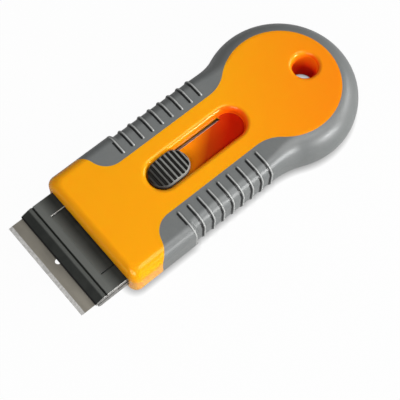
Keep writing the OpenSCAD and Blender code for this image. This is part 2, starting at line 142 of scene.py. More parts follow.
# Thumb pocket and hang hole
POCKET_X0 = 26.1
POCKET_X1 = 66.2
POCKET_HALF = 5.45
POCKET_Z = 11.8
POCKET_RIM = 2.05
POCKET_FOOT = 0.5
TUB_WALL = 1.4
HANG_X = 95.5
HANG_R = 4.5
HANG_RIM = 1.75
HANG_RIM_UNDER = 0.8
HANG_BOSS = 1.8

# Leg of the button, slit for it and guide strip under the slit
LEG_T = 0.8
LEG_GAP = 0.2
LEG_LAP = 0.3
LEG_X0 = 30.75
LEG_X1 = 37.55
LEG_Z = 6.4
FOOT_X0 = 31.65
FOOT_LEN = 5.0
FOOT_OUT = 1.0
FOOT_H = 0.8
TRAVEL = 20.0
SLIT_TAIL = 2.9
SLIT_GAP = 0.35
GUIDE_X0 = 38.7
GUIDE_X1 = 60.3
GUIDE_Y = 5.1
GUIDE_W = 0.5
GUIDE_TOP = 10.45
GUIDE_ROUND = 0.2

# Button; the sides of a ridge are shares of half a pitch
BUTTON_X = 26.4
BUTTON_LEN = 15.5
BUTTON_HALF = 5.15
BUTTON_Z = 13.0
BUTTON_FRONT_H = 1.65
BUTTON_CROWN_H = 2.75
BUTTON_REAR_H = 1.85
BUTTON_CROWN_SHARE = 0.76
BUTTON_RIM = 0.75
BUTTON_TIP_HALF = 0.12
BUTTON_TIP_INSET = 0.002
RIDGES = 9
RIDGE_DEPTH = 0.75
RIDGE_SIDES = (0.3, 0.55)
RIDGE_END = 0.3
NEAR_RIM = 0.4
NEAR_RIM_TURN = (-0.3, 0.5)
# Painted highlight on the ridges and the rim, fading into painted shade towards the front
RIDGE_HIGHLIGHT_FADE = 1.5
FRONT_LIT_SHARE = 0.08
LIT_RISE = (0.1, 0.5)

# Blade holder
CARRIAGE_Z = 5.2
BLADE_Z = 8.0
JAW_Z = 8.25
JAW_TOP = 10.2
JAW_HALF = 20.05
JAW_X0 = -13.05
JAW_X1 = 3.0
JAW_CHAMFER = 0.22
NOSE_T = 0.6
NOSE_LEN = 3.3
TOE_R = 0.12
CREST_R = 0.5
GROOVE_X = -8.7
GROOVE_W = 0.5
GROOVE_D = 0.6
GROOVE_EDGE_R = 0.12
GROOVE_FOOT_R = 0.15
BACK_EDGE_R = 0.1
PANEL_X = -5.4
PANEL_HALF = 13.05
PANEL_D = 1.0
PANEL_FALL = 1.3
PANEL_SLIT = 0.4
PANEL_EDGE = 0.2
JAW_SCREW_X = 1.8
JAW_SCREW_Y = 16.05
JAW_HOLE_R = 0.65
JAW_HOLE_Z = 5.6
JAW_HEAD_R = 1.05
JAW_HEAD_D = 0.7
LOWER_SETBACK = 0.8
LOWER_BEVEL = 0.8
LOWER_BEVEL_R = (0.2, 0.3)
NOTCH_W = 0.9
NOTCH_LEN = 7.4
NOTCH_D = 0.7
TONGUE_HALF = 6.6
TONGUE_X1 = 44.95
TONGUE_LAP = 2.4
RIVET_X = 41.15
RIVET_R = 0.9
RIVET_D = 2.0

# Blade
EDGE_X = -18.6
SPINE_X0 = -3.9
SPINE_X1 = 0.4
SPINE_GAP = 0.2
FOLD_T = 0.45
BLADE_X1 = -0.05
BLADE_HALF = 19.5
BEVEL = 1.4
SLOT_LEAD = 4.5
SLOT_LEN = 4.2
SLOT_R = 1.0
END_NOTCH_LEAD = 0.9
END_NOTCH_R = 1.6

# Places along the object where colours turn, and depths over which painted shade turns the recesses red
TAIL_SLANT = 0.8
TAIL_RED_X = (51.85, 111.85)
RED_SLANT = 1.2
FLOOR_RED_X = (37.0, 52.0)
FLOOR_DEEP_X = (51.0, 61.0)
WALL_RED_X = (41.0, 57.0)
REAR_RED_X = (58.0, 66.0)
FRONT_WALL_RED = (0.6, 2.4)
REAR_WALL_RED = (0.0, 0.5)
FRONT_RED_SHARE = 0.15
HOLE_AWAY = (-0.5, 0.8)
HOLE_AWAY_RED = (0.0, 0.8)
HOLE_RED_END = 9.0
HOLE_LIT_RED = (0.1, HOLE_RED_END)
GUIDE_DARK_X = (46.0, GUIDE_X1)
# Painted highlight on the crest of the nose, painted light on the flat behind the groove up to the lip's
# shadow, and painted shadow at the toe
CREST_HIGHLIGHT_X = (GROOVE_X - 1.5, GROOVE_X - 1.0, GROOVE_X - 0.2, GROOVE_X)
CREST_HIGHLIGHT = 0.6
FLAT_LIT_BAND_X = (GROOVE_X + GROOVE_W, GROOVE_X + GROOVE_W + 0.3, PANEL_X - 0.8, -1.8)
TOE_SHADOW_X = (JAW_X0 + 0.5, JAW_X0 + 0.35)
UPPER_END_WEAR = 0.5
LOWER_END_WEAR = 0.4
BARE_REACH = 0.3

# Parts of a normal that tell level, upright, sideways and slanted faces apart
LEVEL = 0.7
UPRIGHT = 0.3
SIDEWAYS = 0.6
SLANTED = (0.5, 0.9)

# Overlaps for the boolean cuts, and counts of steps
OVER = 1.0
SEAM = 0.12
TOUCH = 0.01
EDGE_STEPS = 20
CORNER_STEPS = 16
STEP_STEPS = 8
FLARE_STEPS = 20
TAIL_STEPS = 60
INNER_TAIL_STEPS = 48
POCKET_STEPS = 40
SLIT_STEPS = 10
SLOT_STEPS = 20
HOLE_STEPS = 24
GUIDE_STEPS = 12
PANEL_STEPS = 24
RIB_FLAT_STEPS = 10
RIB_BEND_STEPS = 24
RIB_WALL_STEPS = 8
RIB_ROUND_STEPS = 12
BUTTON_STEPS = 300
BUTTON_ACROSS = 44
END_CROWDING = 0.35
SIDE_CROWDING = 0.6
FOOT_TURN = 15
RIM_TURN = 9

# Floor, light and camera in metres, degrees and pixels; the sensor's width is in mm
FLOOR_HALF = 3.0
FLOOR_DROP = 0.0003
CONTACT_REACH = 0.003
MIRRORED = 0.25
GLOW_SHARE = 0.97
LIT_POINT = (0, 0, 0.01)
SKY_DIRECTION = (0.35, -0.75, 0.56)
SKY_FROM = (-0.7, 0.9)
SKY_STRENGTH = 0.04
VIEW_AZIMUTH = -42.77
VIEW_ELEVATION = 66.88
VIEW_ROLL = 2.60
VIEW_DISTANCE = 0.38968
VIEW_TARGET = (-0.00929, -0.0122, 0.005)
SENSOR_W = 36
FOCAL_PIXELS = 1152.32
IMAGE_PIXELS = 400


# Shapes in plain lists
def arc(cx, cy, r, a0, a1, n):
    """n + 1 points on an arc, angles in degrees."""
    out = []
    for i in range(n + 1):
        a = math.radians(a0 + (a1 - a0) * i / n)
        out.append((cx + r * math.cos(a), cy + r * math.sin(a)))
    return out


def frame_x(x):
    """Place along the frame in metres of a length from the mouth."""
    return (x + MOUTH_X) * MM


def smooth(lo, hi, v):
    """Eased step from 0 at lo to 1 at hi."""
    t = min(1.0, max(0.0, (v - lo) / (hi - lo)))
    return t * t * (3 - 2 * t)


def stadium(x0, x1, r, n=24):
    """Slot outline with round ends."""
    return arc(x1 - r, 0, r, -90, 90, n) + arc(x0 + r, 0, r, 90, 270, n)


def edge_out(over_top, k, t, g):
    """How far out the rounded edge lies at angle t; k goes from 0 at the waist to 1 at the tail."""
    r = TOP_ROUND + k * (TAIL_ROUND - TOP_ROUND) if over_top else BOTTOM_ROUND
    return (r + g) * math.cos(math.radians(t)) - r


def edge_up(over_top, k, t, g):
    """Height of the rounded edge at angle t; k goes from 0 at the waist to 1 at the tail."""
    r = TOP_ROUND + k * (TAIL_DROP - TOP_ROUND) if over_top else BOTTOM_ROUND
    return (BODY_H - r if over_top else r) + (r + g) * math.sin(math.radians(t))


def lip(z, g):
    """Set-back of the rounded mouth lip at height z."""
    if z > CEILING_Z:
        rise = (z - CEILING_Z) / (BODY_H + g - CEILING_Z)
        return LIP_DEPTH * (1 - math.sqrt(max(0, 1 - rise ** 2)))
    if z < SPLIT_Z:
        fall = (SPLIT_Z - z) / (SPLIT_Z + g)
        return LIP_UNDER * (1 - math.sqrt(max(0, 1 - fall ** 2)))
    return 0.0


def half_ring(over_top, t, g):
    """One side of the handle from mouth to tail, at angle t of its rounded edge."""
    z = edge_up(over_top, 0, t, g)
    f = lip(z, g) - g
    y1 = FRONT_HALF + edge_out(over_top, 0, t, g)
    corner = arc(f + FRONT_CORNER, y1 - FRONT_CORNER, FRONT_CORNER, 180, 90, CORNER_STEPS)
    pts = [(x, y, z) for x, y in corner]
    step0 = STEP_X + g - STEP_RUN
    for i in range(STEP_STEPS + 1):
        u = i / STEP_STEPS
        pts.append((step0 + STEP_RUN * u, y1 - (FRONT_HALF - WAIST_HALF) * smooth(0, 1, u), z))
    for i in range(FLARE_STEPS):
        k = i / FLARE_STEPS
        ease = smooth(0, 1, k)
        a = math.radians(270 + (FLARE_A - 90) * k)
        r = FLARE_R - edge_out(over_top, ease, t, g)
        x = FLARE_X + r * math.cos(a)
        y = WAIST_HALF + FLARE_R + r * math.sin(a)
        pts.append((x, y, edge_up(over_top, ease, t, g)))
    tail = arc(TAIL_X, 0, TAIL_R + edge_out(over_top, 1, t, g), FLARE_A, 0, TAIL_STEPS)
    return pts + [(x, y, edge_up(over_top, 1, t, g)) for x, y in tail]


def deck_side():
    """Outline of the hard deck on one side, from front to tail."""
    c1 = (DECK_X0, DECK_HALF + DECK_R1)
    a = math.radians(DECK_TURN)
    apart = DECK_R1 + DECK_R2
    c2 = (c1[0] - apart * math.cos(a), c1[1] - apart * math.sin(a))
    return (
        arc(*c2, DECK_R2, 90, DECK_TURN, CORNER_STEPS)[:-1]
        + arc(*c1, DECK_R1, 180 + DECK_TURN, 270, CORNER_STEPS)
        + arc(DECK_X1, DECK_HALF + DECK_FLARE_R, DECK_FLARE_R, 270, 180 + DECK_A, CORNER_STEPS)[:-1]
        + arc(TAIL_X, 0, DECK_TAIL_R, DECK_A, 0, INNER_TAIL_STEPS)
    )


# Meshes in mm
def solid(verts, faces):
    """A scratch object from vertices and faces, with its normals outward."""
    me = bpy.data.meshes.new("scratch")
    me.from_pydata([tuple(v) for v in verts], [], faces)
    bm = bmesh.new()
    bm.from_mesh(me)
    bmesh.ops.remove_doubles(bm, verts=bm.verts, dist=1e-5)
    bmesh.ops.recalc_face_normals(bm, faces=bm.faces)
    bm.to_mesh(me)
    bm.free()
    ob = bpy.data.objects.new("scratch", me)
    bpy.context.scene.collection.objects.link(ob)
    return ob


def loft(rings):
    """Closed solid through rings of equal count, with flat caps."""
    n = len(rings[0])
    verts = [p for r in rings for p in r]
    faces = []
    for j in range(len(rings) - 1):
        for i in range(n):
            a = j * n + i
            b = j * n + (i + 1) % n
            faces.append((a, b, b + n, a + n))
    faces.append(tuple(range(n - 1, -1, -1)))
    faces.append(tuple(range((len(rings) - 1) * n, len(rings) * n)))
    return solid(verts, faces)


def prism(outline, z0, z1):
    """Outline in x and y drawn up from z0 to z1."""
    return loft([[(x, y, z0) for x, y in outline], [(x, y, z1) for x, y in outline]])


def across(profile, y0, y1):
    """Profile in x and z drawn out from y0 to y1."""
    return loft([[(x, y0, z) for x, z in profile], [(x, y1, z) for x, z in profile]])


def block(x0, x1, y0, y1, z0, z1):
    """Box between two places on each axis."""
    return prism([(x0, y0), (x1, y0), (x1, y1), (x0, y1)], z0, z1)


def post(x, y, r, z0, z1, n=40):
    """Upright cylinder."""
    return prism(arc(x, y, r, 0, 360 - 360 / n, n - 1), z0, z1)


def lathe(x, y, profile, n=96):
    """Solid of revolution about a vertical axis, from (radius, z) pairs."""
    rings = []
    for r, z in profile:
        rings.append([(px, py, z) for px, py in arc(x, y, r, 0, 360 - 360 / n, n - 1)])
    return loft(rings)


def skin(g):
    """Outer form of the handle, grown by g."""
    rings = []
    for over_top in (False, True):
        for i in range(EDGE_STEPS + 1):
            t = 90 * i / EDGE_STEPS - (0 if over_top else 90)
            side = half_ring(over_top, t, g)
            rings.append(side + [(x, -y, z) for x, y, z in reversed(side[:-1])])
    return loft(rings)


def paint(ob, name, value):
    """A number for each vertex, worked out from its place, for the materials to read."""
    layer = ob.data.attributes.new(name, "FLOAT", "POINT")
    layer.data.foreach_set("value", [value(*v.co) for v in ob.data.vertices])


def combine(base, tool, how):
    """Boolean of two scratch objects; the tool is used up."""
    mod = base.modifiers.new("cut", "BOOLEAN")
    mod.operation = how
    mod.solver = "MANIFOLD"
    mod.object = tool
    dg = bpy.context.evaluated_depsgraph_get()
    me = bpy.data.meshes.new_from_object(base.evaluated_get(dg))
    base.modifiers.clear()
    old = base.data
    base.data = me
    bpy.data.meshes.remove(old)
    drop(tool)
    return base


def drop(ob):
    """Deletes a scratch object and its mesh."""
    me = ob.data
    bpy.data.objects.remove(ob)
    bpy.data.meshes.remove(me)


def cut(base, *tools):
    """Takes the tools away from the base."""
    for t in tools:
        combine(base, t, "DIFFERENCE")
    return base


def add(base, *tools):
    """Melts the tools into the base."""
    for t in tools:
        combine(base, t, "UNION")
    return base


def keep(base, tool):
    """Keeps the part of the base that lies in the tool."""
    return combine(base, tool, "INTERSECT")


def join(base, *others):
    """Puts closed meshes together in one object without a boolean."""
    bm = bmesh.new()
    for ob in (base, *others):
        bm.from_mesh(ob.data)
    bm.to_mesh(base.data)
    bm.free()
    for ob in others:
        drop(ob)
    return base


# Materials
def combined(tree, how, a, b):
    """Result of a Math node; b is a socket or a number."""
    node = tree.nodes.new("ShaderNodeMath")
    node.operation = how
    tree.links.new(a, node.inputs[0])
    if isinstance(b, float):
        node.inputs[1].default_value = b
    else:
        tree.links.new(b, node.inputs[1])
    return node.outputs[0]


class Look:
    """A Principled material with its nodes."""

    def __init__(self, name, colour, rough, metal=0.0, specular=0.5):
        self.mat = bpy.data.materials.new(name)
        self.mat.use_nodes = True
        self.nodes = self.mat.node_tree.nodes
        self.links = self.mat.node_tree.links
        self.shader = self.nodes["Principled BSDF"]
        self.shader.inputs["Base Color"].default_value = (*colour, 1)
        self.shader.inputs["Roughness"].default_value = rough
        self.shader.inputs["Metallic"].default_value = metal
        self.shader.inputs["Specular IOR Level"].default_value = specular
        self.coord = self.nodes.new("ShaderNodeTexCoord").outputs["Object"]

    def noise(self, scale, detail=3.0, rough=0.55, stretch=None):
        """Cloudy pattern; stretch is its scale along each axis."""
        src = self.coord
        if stretch:
            m = self.nodes.new("ShaderNodeMapping")
            m.inputs["Scale"].default_value = stretch
            self.links.new(src, m.inputs["Vector"])
            src = m.outputs["Vector"]
        n = self.nodes.new("ShaderNodeTexNoise")
        n.inputs["Scale"].default_value = scale
        n.inputs["Detail"].default_value = detail
        n.inputs["Roughness"].default_value = rough
        self.links.new(src, n.inputs["Vector"])
        return n.outputs["Fac"]

    def span(self, value, lo, hi, lo_in=0.3, hi_in=0.7):
        """Goes from lo to hi while the value goes from lo_in to hi_in."""
        m = self.nodes.new("ShaderNodeMapRange")
        m.inputs["From Min"].default_value = lo_in
        m.inputs["From Max"].default_value = hi_in
        m.inputs["To Min"].default_value = lo
        m.inputs["To Max"].default_value = hi
        self.links.new(value, m.inputs["Value"])
        return m.outputs["Result"]

    def over(self, value, places):
        """Goes from 0 at the first place to 1 at the second, both in mm from the mouth."""
        return self.span(value, 0, 1, frame_x(places[0]), frame_x(places[1]))

    def larger(self, a, b):
        """The larger of two values."""
        return combined(self.mat.node_tree, "MAXIMUM", a, b)

    def window(self, value, places, top=1.0):
        """Climbs from 0 to top between the first two places and falls back between the last two."""
        rise, full, fade, end = [frame_x(p) for p in places]
        up = self.span(value, 0, top, rise, full)
        down = self.span(value, 1, 0, fade, end)
        return combined(self.mat.node_tree, "MULTIPLY", up, down)

    def along(self, direction):
        """Place along a direction of the frame, in metres."""
        dot = self.nodes.new("ShaderNodeVectorMath")
        dot.operation = "DOT_PRODUCT"
        dot.inputs[1].default_value = direction
        self.links.new(self.coord, dot.inputs[0])
        return dot.outputs["Value"]

    def attribute(self, name):
        """Number that paint gave to the vertices."""
        a = self.nodes.new("ShaderNodeAttribute")
        a.attribute_name = name
        return a.outputs["Fac"]

    def mix(self, fac, a, b):
        """Colour that goes from a to b with fac; a and b are colours or sockets."""
        m = self.nodes.new("ShaderNodeMix")
        m.data_type = "RGBA"
        self.links.new(fac, m.inputs["Factor"])
        for side, sock in ((a, m.inputs[6]), (b, m.inputs[7])):
            if isinstance(side, tuple):
                sock.default_value = (*side, 1)
            else:
                self.links.new(side, sock)
        return m.outputs[2]

    def colour(self, socket):
        """Uses a socket as the base colour."""
        self.links.new(socket, self.shader.inputs["Base Color"])

    def roughness(self, socket):
        """Uses a socket as the roughness."""
        self.links.new(socket, self.shader.inputs["Roughness"])

    def bump(self, height, distance, strength=1.0):
        """Fine relief from a height."""
        b = self.nodes.new("ShaderNodeBump")
        b.inputs["Distance"].default_value = distance
        b.inputs["Strength"].default_value = strength
        self.links.new(height, b.inputs["Height"])
        self.links.new(b.outputs["Normal"], self.shader.inputs["Normal"])


def orange_plastic(name, specular, rough):
    """Orange plastic, yellower at the mouth and redder at the tail; gives the look and its colour."""
    m = Look(name, (0.87, 0.33, 0.004), rough, specular=specular)
    tail = m.over(m.along((1, -TAIL_SLANT, 0)), TAIL_RED_X)
    plain = m.mix(tail, (0.86, 0.345, 0.004), (0.83, 0.222, 0.004))
    m.roughness(m.span(m.noise(45), rough - 0.02, rough + 0.02))
    m.bump(m.noise(420, 2), 0.000008, 0.1)
    m.shader.inputs["Specular Tint"].default_value = (1.0, 0.8, 0.4, 1)
    m.shader.inputs["Subsurface Weight"].default_value = 0.3
    m.shader.inputs["Subsurface Radius"].default_value = (1.0, 0.3, 0.05)
    m.shader.inputs["Subsurface Scale"].default_value = 0.0022
    return m, m.mix(m.span(m.noise(60), 0, 0.1), plain, (0.82, 0.28, 0.004))


def orange_look():
    """Outer orange, with shade painted into the recesses: it turns red there, more so at the tail end of
    the pocket.
    """
    m, plain = orange_plastic("orange_shell", 0.42, 0.2)
    red = m.mix(m.over(m.along((1, 0, 0)), REAR_RED_X), (0.95, 0.15, 0.002), (0.92, 0.11, 0.002))
    m.colour(m.mix(m.attribute("recess_shade"), plain, red))
    return m.mat


def pocket_look():
    """Floor of the thumb pocket, with shade painted in: darker and redder towards its tail end and its
    near wall.
    """
    m = orange_plastic("orange_pocket", 0.06, 0.6)[0]
    place = m.along((1, -RED_SLANT, 0))
    front = m.mix(m.over(place, FLOOR_RED_X), (0.98, 0.33, 0.003), (0.44, 0.042, 0.002))
    m.colour(m.mix(m.over(place, FLOOR_DEEP_X), front, (0.5, 0.011, 0.001)))
    return m.mat


def hole_look():
    """Wall of the hang hole, with shade painted in: darker and redder with depth."""
    m = orange_plastic("orange_hole", 0.06, 0.6)[0]
    depth = m.span(m.along((0, 0, 1)), 1, 0, (BODY_H - HOLE_RED_END) * MM, (BODY_H - HANG_RIM) * MM)
    m.colour(m.mix(depth, (1.0, 0.2, 0.003), (1.0, 0.03, 0.001)))
    m.shader.inputs["Subsurface Weight"].default_value = 0.7
    m.shader.inputs["Subsurface Scale"].default_value = 0.005
    return m.mat


def grey_look():
    """Soft grey grip, with a painted highlight on the crests of the ribs, a painted shadow on a thin sheet
    before each rib and painted shade in the seams.
    """
    m = Look("grey_grip", (0.15, 0.16, 0.158), 0.5, specular=0.5)
    cloudy = m.mix(m.span(m.noise(140), 0, 1), (0.137, 0.145, 0.144), (0.15, 0.156, 0.153))
    plain = m.mix(m.span(m.noise(1700, 2), 0, 0.3), cloudy, (0.11, 0.115, 0.113))
    crest_highlight = m.mix(m.attribute("wear_and_highlight"), plain, (0.5, 0.505, 0.49))
    m.colour(m.mix(m.attribute("shade"), crest_highlight, (0.004, 0.004, 0.004)))
    m.roughness(m.span(m.noise(1400), 0.33, 0.44))
    m.bump(m.noise(5200, 3), 0.00002, 0.4)
    return m.mat


def charcoal_look():
    """Dark coating with painted light: a painted highlight on the crest of the nose, a lit band painted on
    the flat behind the groove that fades into the lip's shadow, and a painted shadow at the toe; lighter
    where the ends are worn.
    """
    m = Look("charcoal_holder", (0.015, 0.0155, 0.014), 0.4, specular=0.25)
    x = m.along((1, 0, 0))
    crest = m.window(x, CREST_HIGHLIGHT_X, CREST_HIGHLIGHT)
    flat = m.window(x, FLAT_LIT_BAND_X)
    coat = m.mix(m.span(m.noise(260), 0, 1), (0.014, 0.0155, 0.014), (0.023, 0.025, 0.022))
    painted_light = m.mix(m.larger(crest, flat), coat, (0.11, 0.115, 0.107))
    toe_shadowed = m.mix(m.over(x, TOE_SHADOW_X), painted_light, (0.003, 0.003, 0.003))
    m.colour(m.mix(m.attribute("wear_and_highlight"), toe_shadowed, (0.2, 0.19, 0.175)))
    m.roughness(m.span(m.noise(1800), 0.33, 0.48))
    m.bump(m.noise(6200, 3), 0.000014, 0.6)
    return m.mat


def button_look():
    """Dark plastic, with a painted highlight on the ridges and the rim that fades into painted shade at
    the front.
    """
    m = Look("ridged_button", (0.03, 0.03, 0.028), 0.45, specular=0.3)
    dark = m.mix(m.span(m.noise(300), 0, 1), (0.009, 0.008, 0.007), (0.016, 0.014, 0.012))
    m.colour(m.mix(m.attribute("wear_and_highlight"), dark, (0.2, 0.203, 0.19)))
    m.roughness(m.span(m.noise(1800), 0.38, 0.55))
    m.bump(m.noise(6200, 3), 0.000014, 0.6)
    return m.mat


def guide_look():
    """Dull metal of the strip under the slit, with shade painted on it: darker towards the tail."""
    m = Look("dull_guide", (0.25, 0.17, 0.13), 0.55, metal=0.3)
    plain = m.mix(m.span(m.noise(600), 0, 1), (0.3, 0.21, 0.16), (0.25, 0.17, 0.13))
    m.colour(m.mix(m.over(m.along((1, 0, 0)), GUIDE_DARK_X), plain, (0.04, 0.02, 0.012)))
    m.bump(m.noise(3000, 3), 0.00001, 0.4)
    return m.mat


def steel_look(name, colour, rough, grain, metal=1.0, stained=0.85, fine=900):
    """Brushed or ground steel.

    grain is the stretch of its lines, stained the share of light that its dark spots keep and
    fine the scale of its lines.
    """
    m = Look(name, colour, rough, metal=metal)
    lines = m.noise(fine, 4, 0.6, grain)
    stain = m.span(m.noise(fine / 4, 4), 0, 1, 0.35, 0.75)
    dark = tuple(stained * c for c in colour)
    m.colour(m.mix(stain, colour, dark))
    m.roughness(m.span(lines, rough - 0.06, rough + 0.08))
    m.bump(lines, 0.000002, 0.3)
    return m.mat


ORANGE = orange_look()
POCKET = pocket_look()
HOLE = hole_look()
GREY = grey_look()
CHARCOAL = charcoal_look()
BUTTON = button_look()
BLADE_FACE = steel_look("blade_face", (0.36, 0.335, 0.285), 0.45, (0.3, 0.05, 1), stained=0.94)
BLADE_EDGE = steel_look("blade_ground_edge", (0.62, 0.61, 0.59), 0.45, (1, 1, 1),
                        metal=0.45, stained=0.6, fine=5200)
STEEL = steel_look("plain_steel", (0.6, 0.58, 0.54), 0.35, (0.1, 1, 1))
DULL = guide_look()
# Lighter metal that paints a highlight on the far end of the jaw's sunk panel.
PANEL_EDGE_HIGHLIGHT = steel_look("panel_edge_highlight", (0.42, 0.415, 0.4), 0.45, (1, 1, 0.1), metal=0.3)
BARE = steel_look("bare_ends", (0.34, 0.335, 0.32), 0.45, (1, 1, 0.1), metal=0.6, stained=0.6, fine=1800)
ORANGE_LOOKS = [ORANGE, POCKET, HOLE]
JAW_LOOKS = [CHARCOAL, BARE, PANEL_EDGE_HIGHLIGHT]
BLADE_LOOKS = [BLADE_FACE, BLADE_EDGE]


# Finished pieces
def finish_piece(ob, name, body, mats, nodes, sharp=32.0, wear_and_highlight=None, recess_shade=None):
    """Moves a scratch object to the frame, shades it and hands it to its body."""
    ob.name = name
    ob.data.name = name
    me = ob.data
    if wear_and_highlight:
        paint(ob, "wear_and_highlight", wear_and_highlight)
    # Shade painted into the recesses goes on the vertices here.
    if recess_shade:
        paint(ob, "recess_shade", recess_shade)
    lo, hi = CAD_BOX
    for v in me.vertices:
        p = Vector((frame_x(v.co.x), v.co.y * MM, v.co.z * MM))
        v.co = Vector(min(max(p[i], lo[i]), hi[i]) for i in range(3))
    me.materials.clear()
    for m in mats:
        me.materials.append(m)
    me.shade_smooth()
    me.set_sharp_from_angle(angle=math.radians(sharp))
    mod = ob.modifiers.new("normals", "WEIGHTED_NORMAL")
    mod.keep_sharp = True
    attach(ob, body)
    if nodes:
        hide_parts(*nodes)
    return ob


def half_space(upper, z):
    """Block that holds all of the handle above or below a height."""
    x0 = -OVER - LIP_DEPTH
    x1 = BODY_LEN + OVER
    if upper:
        return block(x0, x1, -2 * TAIL_R, 2 * TAIL_R, z, BODY_H + OVER)
    return block(x0, x1, -2 * TAIL_R, 2 * TAIL_R, -OVER, z)


def deck_prism():
    """Block over the outline of the hard deck."""
    side = deck_side()
    reach = side[0][1]
    outline = [(-OVER, -reach), (-OVER, reach)] + side[:-1] + [(x, -y) for x, y in reversed(side)]
    return prism(outline, -OVER, BODY_H + OVER)


def hard_form(upper):
    """Orange form of one shell: the core under the grip, with the deck on it."""
    core = skin(-GRIP_T)
    deck = keep(skin(0), deck_prism())
    return keep(add(core, deck), half_space(upper, SPLIT_Z))


def chamber(z0, z1, x0, inset):
    """Room inside a shell: a part behind the mouth and a rounded part at the tail."""
    front = FRONT_CHAMBER_HALF - inset
    waist = WAIST_CHAMBER_HALF - inset
    tail = TAIL_CHAMBER_R - inset
    room = block(x0, FRONT_CHAMBER_X, -front, front, z0, min(z1, CEILING_Z))
    rear = prism(
        [(FRONT_CHAMBER_X - OVER, -waist), (FLARE_X, -waist)]
        + arc(TAIL_X, 0, tail, -90, 90, INNER_TAIL_STEPS)
        + [(FLARE_X, waist), (FRONT_CHAMBER_X - OVER, waist)], z0, z1)
    return add(room, rear)


def bosses(z0, z1, r):
    """Posts at the four shell screws."""
    return [post(x, s * BOSS_Y, r, z0, z1) for x in BOSS_X for s in (-1, 1)]


def quarter_turn(step):
    """Angles of a quarter turn in radians, a step of degrees apart."""
    return [math.radians(a) for a in range(0, 91, step)]


def pocket():
    """Thumb pocket with a rounded rim and a small round at its floor."""
    def ring(o, z):
        outline = stadium(POCKET_X0 - o, POCKET_X1 + o, POCKET_HALF + o, POCKET_STEPS)
        return [(x, y, z) for x, y in outline]

    rings = []
    for a in quarter_turn(FOOT_TURN):
        rings.append(ring(POCKET_FOOT * (math.sin(a) - 1), POCKET_Z + POCKET_FOOT * (1 - math.cos(a))))
    for a in quarter_turn(RIM_TURN):
        rings.append(ring(POCKET_RIM * (1 - math.cos(a)), BODY_H - POCKET_RIM * (1 - math.sin(a))))
    rings.append(ring(POCKET_RIM, BODY_H + OVER))
    return loft(rings)


def rim_cutter(r, rim, z, sign, depth):
    """Hang hole bore and rounded rim; sign says which way is out."""
    profile = [(r, z - sign * depth)]
    for a in quarter_turn(RIM_TURN):
        profile.append((r + rim * (1 - math.cos(a)), z - sign * rim * (1 - math.sin(a))))
    profile.append((r + rim, z + sign * OVER))
    return lathe(HANG_X, 0, profile)


def slit():
    """Slot for the button's leg, open up to the foot of the pocket's wall."""
    r = LEG_T / 2 + SLIT_GAP
    y0 = BUTTON_HALF - LEG_T / 2
    outline = stadium(LEG_X0 - LEG_GAP, LEG_X1 + TRAVEL + SLIT_TAIL, r, SLIT_STEPS)
    return prism([(x, y + y0) for x, y in outline], CEILING_Z - OVER, POCKET_Z + OVER)


def guide_bar():
    """Rounded cap on the spring's guide strip, seen through the slit."""
    profile = []
    for i in range(GUIDE_STEPS + 1):
        a = math.pi * i / GUIDE_STEPS
        profile.append((GUIDE_Y + GUIDE_W / 2 * math.cos(a), GUIDE_TOP - GUIDE_ROUND * (1 - math.sin(a))))
    profile += [(GUIDE_Y - GUIDE_W / 2, BLADE_Z), (GUIDE_Y + GUIDE_W / 2, BLADE_Z)]
    ob = loft([[(x, y, z) for y, z in profile] for x in (GUIDE_X0, GUIDE_X1)])
    return finish_piece(ob, "guide_cap", "carriage", [DULL], [])


def painted_recess_shade(x, y, z):
    """Painted shade of a point in the thumb pocket or the hang hole, from 0 to 1: it grows with depth,
    soonest at the tail end and near side of the pocket and on the side of the hole that faces away from
    the light.
    """
    depth = min(z, BODY_H - z)
    if math.hypot(x - HANG_X, y) < HANG_R + HANG_RIM:
        away = smooth(*HOLE_AWAY, (x - HANG_X - y) / HANG_R)
        return smooth(*HOLE_LIT_RED, depth) * (1 - away) + smooth(*HOLE_AWAY_RED, depth) * away
    beside = abs(y) < POCKET_HALF + POCKET_RIM
    if beside and POCKET_X0 - POCKET_RIM < x < POCKET_X1 + POCKET_RIM and z > POCKET_Z - SEAM:
        rear = smooth(*WALL_RED_X, x - RED_SLANT * y)
        wall = smooth(*FRONT_WALL_RED, depth) * (1 - rear) + smooth(*REAR_WALL_RED, depth) * rear
        return wall * (FRONT_RED_SHARE + (1 - FRONT_RED_SHARE) * rear)
    return 0.0


def deepen(ob):
    """Duller materials with painted shade on the floor of the pocket and the wall of the hang hole."""
    for p in ob.data.polygons:
        x = p.center.x / MM - MOUTH_X
        y = p.center.y / MM
        z = p.center.z / MM
        over_floor = POCKET_X0 < x < POCKET_X1 and abs(y) < POCKET_HALF and p.normal.z > LEVEL
        if math.hypot(x - HANG_X, y) < HANG_R + SEAM and abs(p.normal.z) < UPRIGHT:
            p.material_index = ORANGE_LOOKS.index(HOLE)
        elif over_floor and abs(z - POCKET_Z) < POCKET_FOOT:
            p.material_index = ORANGE_LOOKS.index(POCKET)
    return ob


